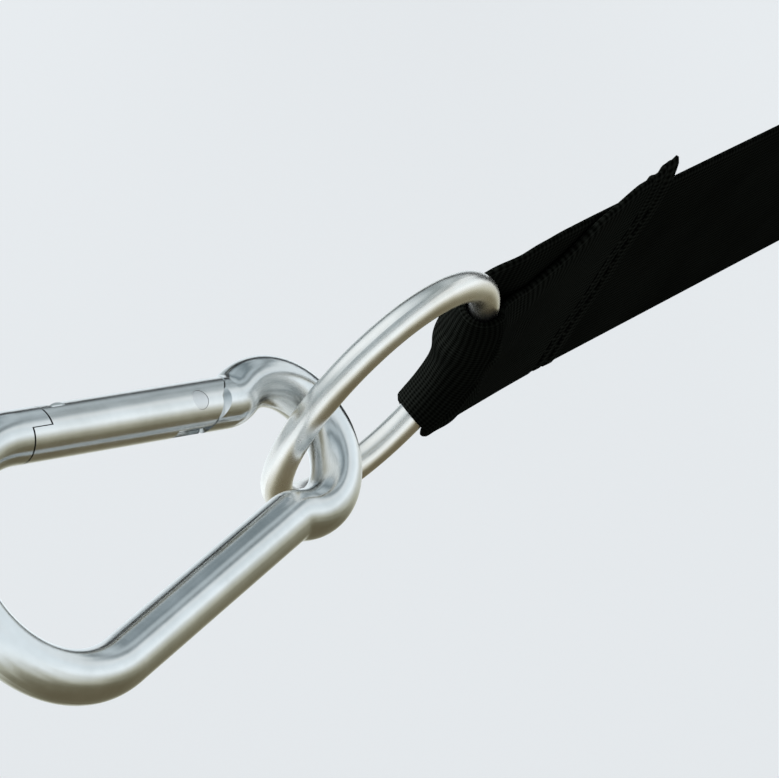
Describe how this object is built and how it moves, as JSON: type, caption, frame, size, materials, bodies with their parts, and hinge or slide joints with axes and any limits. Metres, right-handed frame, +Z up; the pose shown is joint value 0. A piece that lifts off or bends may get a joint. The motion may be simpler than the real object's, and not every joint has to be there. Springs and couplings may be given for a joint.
{
  "type": "belt swing seat",
  "caption": "Flexible belt swing seat on a webbing strip, sewn at each end round a welded steel ring that carries a spring gate snap hook.",
  "frame": {"origin": "under the middle of the belt, on the lowest face of the webbing", "axes": "+X from the left riser to the right riser, +Y from front to back across the belt, +Z up"},
  "size_m": [0.5032, 0.14, 0.527],
  "materials": {
    "zinc_hook": "bright zinc plate, smooth",
    "zinc_gate": "bright zinc plate, smooth",
    "zinc_ring": "bright zinc plate over welded wire",
    "zinc_plate": "zinc plated sheet",
    "zinc_rivet": "zinc plated rivet",
    "spring_steel": "spring wire",
    "black_webbing": "coarse woven polyester",
    "black_thread": "twisted bonded thread",
    "belt_rubber": "moulded, fine grain"
  },
  "bodies": {
    "seat": {"belt": "belt_rubber", "webbing": "black_webbing", "belt_plate_left": "zinc_plate", "belt_plate_right": "zinc_plate", "belt_rivets": "zinc_rivet", "belt_washers": "zinc_plate", "lap_stitching_left": "black_thread", "lap_stitching_right": "black_thread"},
    "right_ring": {"ring_right": "zinc_ring"},
    "right_hook": {"hook_body_right": "zinc_hook", "gate_rivet_right": "zinc_rivet"},
    "right_gate": {"gate_right": "zinc_gate", "gate_spring_right": "spring_steel"},
    "right_plunger": {"spring_plunger_right": "zinc_rivet"},
    "left_ring": {"ring_left": "zinc_ring"},
    "left_hook": {"hook_body_left": "zinc_hook", "gate_rivet_left": "zinc_rivet"},
    "left_gate": {"gate_left": "zinc_gate", "gate_spring_left": "spring_steel"},
    "left_plunger": {"spring_plunger_left": "zinc_rivet"}
  },
  "joints": [
    {"name": "right_ring_tilt", "type": "hinge", "parent": "seat", "child": "right_ring", "pos_m": [0.23159, 0, 0.4025], "axis": [0, 1, 0], "range_deg": [-14, 14]},
    {"name": "right_hook_tilt", "type": "hinge", "parent": "right_ring", "child": "right_hook", "pos_m": [0.23159, 0, 0.4475], "axis": [0, 1, 0], "range_deg": [-80, 80]},
    {"name": "right_gate_hinge", "type": "hinge", "parent": "right_hook", "child": "right_gate", "pos_m": [0.22115, 0.00421, 0.4665], "axis": [0.3746, 0.9272, 0], "range_deg": [0, 24], "stiffness_Nm_per_rad": 0.3, "springref_deg": -14.32},
    {"name": "right_plunger_slide", "type": "slide", "parent": "right_gate", "child": "right_plunger", "axis": [-0.1849, 0.0747, 0.9799], "range_m": [0, 0.0012], "deforming": ["gate_spring_right"]},
    {"name": "left_ring_tilt", "type": "hinge", "parent": "seat", "child": "left_ring", "pos_m": [-0.23159, 0, 0.4025], "axis": [0, -1, 0], "range_deg": [-14, 14]},
    {"name": "left_hook_tilt", "type": "hinge", "parent": "left_ring", "child": "left_hook", "pos_m": [-0.23159, 0, 0.4475], "axis": [0, -1, 0], "range_deg": [-80, 80]},
    {"name": "left_gate_hinge", "type": "hinge", "parent": "left_hook", "child": "left_gate", "pos_m": [-0.22115, 0.00421, 0.4665], "axis": [0.3746, -0.9272, 0], "range_deg": [0, 24], "stiffness_Nm_per_rad": 0.3, "springref_deg": -14.32},
    {"name": "left_plunger_slide", "type": "slide", "parent": "left_gate", "child": "left_plunger", "axis": [0.1849, 0.0747, 0.9799], "range_m": [0, 0.0012], "deforming": ["gate_spring_left"]}
  ],
  "couplings": [
    {"joint": "right_plunger_slide", "follows": "right_gate_hinge", "m_per_rad": 0.0026},
    {"joint": "left_plunger_slide", "follows": "left_gate_hinge", "m_per_rad": 0.0026}
  ]
}
